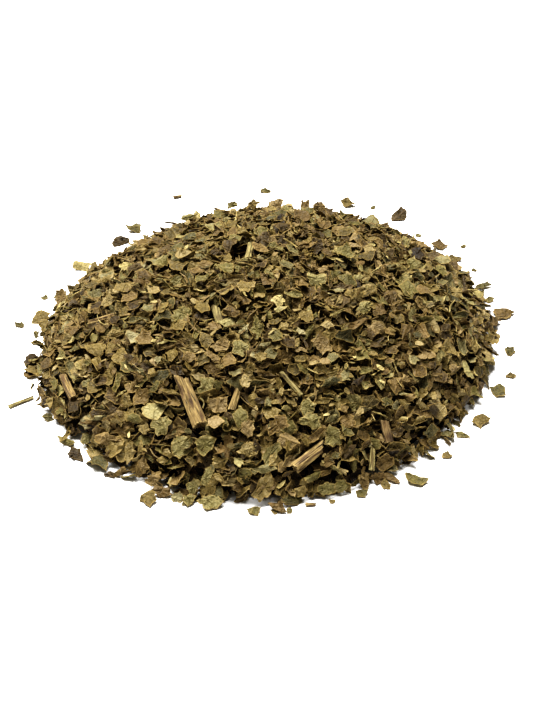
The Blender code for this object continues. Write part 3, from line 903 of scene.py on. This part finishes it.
STEMS = {
    # Bare wood, the palest of the larger pieces.
    "tan": dried_stem("dried basil stem, tan wood", ("#3E301A", "#7B673E", "#B5A06D"), "#4A3520"),
    # Thin side stems, a little greener than the wood.
    "green": dried_stem("dried basil stem, pale green", ("#4C4223", "#7C7047", "#AA9E6C"), "#57492A"),
    # A chip with its bark on, darker than bare wood.
    "brown": dried_stem("dried basil stem, brown bark", ("#2E2112", "#58432A", "#948058"), "#35261A"),
}

# The packed core, nearly black with painted shade.
packed_core(packed_shade("packed leaf in shadow"))

# Under layer: plain flakes that show only in the gaps, coloured with painted shade.
UNDER = 2000
under_length = draw.uniform(2.4, 4.2, UNDER)
under_width = under_length * draw.uniform(0.5, 0.9, UNDER)
under_curl = draw.normal(0, 0.25, UNDER)
under_lean = draw.normal(0, 0.35, (UNDER, 3))
under_stand = np.full(UNDER, 0.3)
lies, *under = bed.settle(
    draw, bed.inner_spots, under_length, under_width, under_lean, under_stand, sticking_out=0.0
)
add_flakes(
    draw,
    "under_flakes",
    LEAVES["shaded"],
    [part[lies] for part in under],
    under_curl[lies],
    np.zeros(lies.sum()),
    draw.uniform(0.1, 0.7, lies.sum()),
    UNDER_CUT,
)

for chip in STEM_CHIPS:
    bed.bed_stem(chip)

# The flakes that show: some rolled up and narrow, the rest flat and broad, some creased, some steep.
COVER = 4800
ROLLED_SHARE = 0.27
CREASED_SHARE = 0.3
STEEP_SHARE = 0.34
rolled = draw.random(COVER) < ROLLED_SHARE
cover_length = np.where(rolled, draw.uniform(2.6, 5.6, COVER), draw.gamma(9.0, 0.39, COVER))
cover_length = np.clip(cover_length, 1.8, 5.2)
slimness = np.where(rolled, draw.uniform(0.3, 0.5, COVER), draw.uniform(0.6, 0.95, COVER))
cover_width = cover_length * slimness
cover_curl = draw.choice([-1, 1], COVER) * np.where(
    rolled, draw.uniform(0.6, 1.5, COVER), np.abs(draw.normal(0, 0.27, COVER))
)
cover_fold = np.where(draw.random(COVER) < CREASED_SHARE, draw.uniform(-0.35, 0.35, COVER), 0.0)
steep = draw.random(COVER) < STEEP_SHARE
cover_lean = draw.normal(0, 1, (COVER, 3)) * np.where(steep, 0.85, 0.2)[:, None]
stand = LEAF_THICKNESS + 0.2 + 0.25 * np.abs(cover_curl) * (0.5 * cover_width) ** 2

# Crumbs, of which the later ones lie open on top and are larger, and fibres.
CRUMBS = 3200
BURIED_CRUMBS = 1900
FIBRES = 300
crumb_length = draw.uniform(0.7, 1.9, CRUMBS)
crumb_width = crumb_length * draw.uniform(0.3, 0.9, CRUMBS)
crumb_lean = draw.normal(0, 0.5, (CRUMBS, 3))
crumb_stand = np.full(CRUMBS, 0.15)
crumb_length[BURIED_CRUMBS:] *= 1.4
fibre_length = draw.uniform(3.0, 8.0, FIBRES)
fibre_width = draw.uniform(0.35, 0.8, FIBRES)
fibre_lean = draw.normal(0, 0.3, (FIBRES, 3))
fibre_stand = np.full(FIBRES, 0.3)

# Three flakes in five settle, then most crumbs, the marked flakes, the other flakes, the fibres and the
# other crumbs. The upper flakes are a little larger and lie a little flatter than the lower ones.
first = 3 * COVER // 5
cover_length[first:] *= 1.12
cover_width[first:] *= 1.12
cover_lean[first:] *= 0.85
below, above = slice(0, first), slice(first, COVER)
buried, late = slice(0, BURIED_CRUMBS), slice(BURIED_CRUMBS, CRUMBS)
flakes = (cover_length, cover_width, cover_lean, stand)
crumbs = (crumb_length, crumb_width, crumb_lean, crumb_stand)
lower = bed.settle(draw, bed.spots, *(part[below] for part in flakes))
lower_crumbs = bed.settle(draw, bed.spots_over(CRUMBS_FROM), *(part[buried] for part in crumbs))
marked = [
    bed.lay_in_view(tipped, *flake)
    for rows, tipped in ((MARKED_FLAKES, MARKED_TIP), (CREST_FLAKES, CREST_TIP))
    for flake in rows
]
upper = bed.settle(draw, bed.spots, *(part[above] for part in flakes))
fibres = bed.settle(draw, bed.spots, fibre_length, fibre_width, fibre_lean, fibre_stand)
upper_crumbs = bed.settle(draw, bed.spots_over(CRUMBS_FROM), *(part[late] for part in crumbs))

kinds = draw.choice(len(COVER_SHARES), COVER, p=list(COVER_SHARES.values()))
tones = np.clip(draw.normal(0.5, 0.22, COVER), 0, 1)
lies, *cover = (np.concatenate(pair) for pair in zip(lower, upper))
for number, kind in enumerate(COVER_SHARES):
    own = lies & (kinds == number)
    resting = [part[own] for part in cover]
    looks = (cover_curl[own], cover_fold[own], tones[own])
    add_flakes(draw, f"{kind}_flakes", LEAVES[kind], resting, *looks, COVER_CUT)

for kind in MARKED_KINDS:
    own = [flake[:-1] for flake in marked if flake[-1] == kind]
    count = len(own)
    add_flakes(
        draw,
        f"marked_{kind}_flakes",
        LEAVES[kind],
        [np.array(part) for part in zip(*own)],
        draw.normal(0, 0.12, count),
        draw.uniform(-0.2, 0.2, count),
        draw.uniform(0.55, 0.8, count),
        MARKED_CUT,
    )


def add_small(name, shares, settled, curls, palest, cut):
    """Adds settled crumbs or fibres, a piece for each colour. curls draws how far that many are rolled."""
    lies, *resting = settled
    kinds = draw.choice(len(shares), len(lies), p=list(shares.values()))
    for number, kind in enumerate(shares):
        own = lies & (kinds == number)
        count = own.sum()
        add_flakes(
            draw,
            f"{kind}_{name}",
            LEAVES[kind],
            [part[own] for part in resting],
            curls(count),
            np.zeros(count),
            draw.uniform(0.1, palest, count),
            cut,
        )


all_crumbs = [np.concatenate(pair) for pair in zip(lower_crumbs, upper_crumbs)]
add_small("crumbs", CRUMB_SHARES, all_crumbs, lambda count: draw.normal(0, 0.4, count), 0.9, CRUMB_CUT)
add_small("fibres", FIBRE_SHARES, fibres, lambda count: draw.uniform(1.0, 3.0, count), 0.7, FIBRE_CUT)

# Stems, each in place of its own solid. The first is the large cracked and peeled one at the front.
for number, chip in enumerate(STEM_CHIPS, 1):
    middle, lying = stem_frame(chip)
    name = f"stem_{number:02d}"
    if number == 1:
        mesh = stem_surface(
            draw, name, chip, 0.5, middle, lying, around=84, along=90, flat=0.8, cracks=5, peel=0.56
        )
    else:
        tone = draw.uniform(0.45, 0.7)
        mesh = stem_surface(draw, name, chip, tone, middle, lying, bow=draw.uniform(-0.03, 0.05))
    wood = STEMS[STEM_WOODS.get(number, "tan")]
    add_piece(name, mesh, wood, "dried_stem", f"stem_chip_{number:02d}")

# Loose pieces on the table, each in place of its own solid.
one = np.ones(1)
for number, (length, width, distance, bearing, heading) in enumerate(LOOSE_FLAKES, 1):
    x, y = on_table(distance, bearing)
    facing = np.array([0.05 * math.cos(number), -0.2 + 0.08 * math.sin(2 * number), 1.0])
    facing /= np.linalg.norm(facing)
    resting = (
        np.array([[x, y, 0.12 + 0.1 * width]]),
        axes_on(facing, math.radians(heading))[None],
        LOOSE_GROWTH * length * one,
        LOOSE_GROWTH * width * one,
    )
    add_flakes(
        draw,
        f"flake_{number:02d}",
        LEAVES[LOOSE_KINDS.get(number, ("olive", "green")[number % 2])],
        resting,
        draw.choice([-1, 1]) * draw.uniform(0.1, 0.35) * one,
        0 * one,
        # A lower tone than on the heap: partly the loose flakes' own darker colour, partly painted shade.
        draw.uniform(0.2, 0.45) * one,
        LOOSE_CUT,
        f"loose_flake_{number:02d}",
    )
for number, splinter in enumerate(LOOSE_SPLINTERS, 1):
    length, width, distance, bearing, heading = splinter
    x, y = on_table(distance, bearing)
    name = f"splinter_{number:02d}"
    lying = axes_on(np.array([0.0, 0.0, 1.0]), math.radians(heading))
    middle = np.array([x, y, 0.45 * width])
    mesh = stem_surface(draw, name, (*splinter, 0.5), 0.6, middle, lying, around=24, along=16)
    wood = STEMS["green" if number == 1 else "tan"]
    add_piece(name, mesh, wood, "dried_stem", f"loose_splinter_{number:02d}")

# The camera stands at the photograph's viewing angle, looking along +Y.
camera_data = bpy.data.cameras.new("camera")
camera_data.lens = FOCAL_PIXELS / FRAME_HEIGHT * SENSOR
camera_data.sensor_width = SENSOR
camera_data.clip_start = 0.01
camera_data.clip_end = 20.0
camera = bpy.data.objects.new("camera", camera_data)
camera.location = EYE * MM
camera.rotation_euler = (math.pi / 2 - ELEVATION, 0.0, 0.0)
bpy.context.scene.collection.objects.link(camera)
bpy.context.scene.camera = camera

# White floor.
FLOOR_HALF = 3.0
floor_corners = [(x * FLOOR_HALF, y * FLOOR_HALF, 0) for x, y in ((-1, -1), (1, -1), (1, 1), (-1, 1))]
floor_mesh = bpy.data.meshes.new("floor")
floor_mesh.from_pydata(floor_corners, [], [(0, 1, 2, 3)])
floor = bpy.data.objects.new("floor", floor_mesh)
bpy.context.scene.collection.objects.link(floor)
white, white_shader = new_material("white paper")
white_shader.inputs["Base Color"].default_value = (0.94, 0.94, 0.94, 1.0)
white_shader.inputs["Roughness"].default_value = 1.0
white_shader.inputs["Specular IOR Level"].default_value = 0.0
floor_mesh.materials.append(white)


def soft_light(name, strength, spread, pitch, roll):
    """A lamp far off, as wide as its spread in degrees, tipped from overhead to the back and the side."""
    data = bpy.data.lights.new(name, "SUN")
    data.energy = strength
    data.angle = math.radians(spread)
    light = bpy.data.objects.new(name, data)
    light.rotation_euler = (math.radians(-pitch), math.radians(roll), 0.0)
    bpy.context.scene.collection.objects.link(light)


soft_light("wide softbox overhead", 6.1, 42, 9, -8)
soft_light("lamp behind the heap", 3.1, 12, 32, -18)
world = bpy.data.worlds.new("studio")
bpy.context.scene.world = world
world.use_nodes = True
world.node_tree.nodes["Background"].inputs["Color"].default_value = (1.0, 0.94, 0.82, 1.0)
world.node_tree.nodes["Background"].inputs["Strength"].default_value = 0.16
bpy.context.scene.view_settings.view_transform = "Standard"
bpy.context.scene.view_settings.look = "High Contrast"
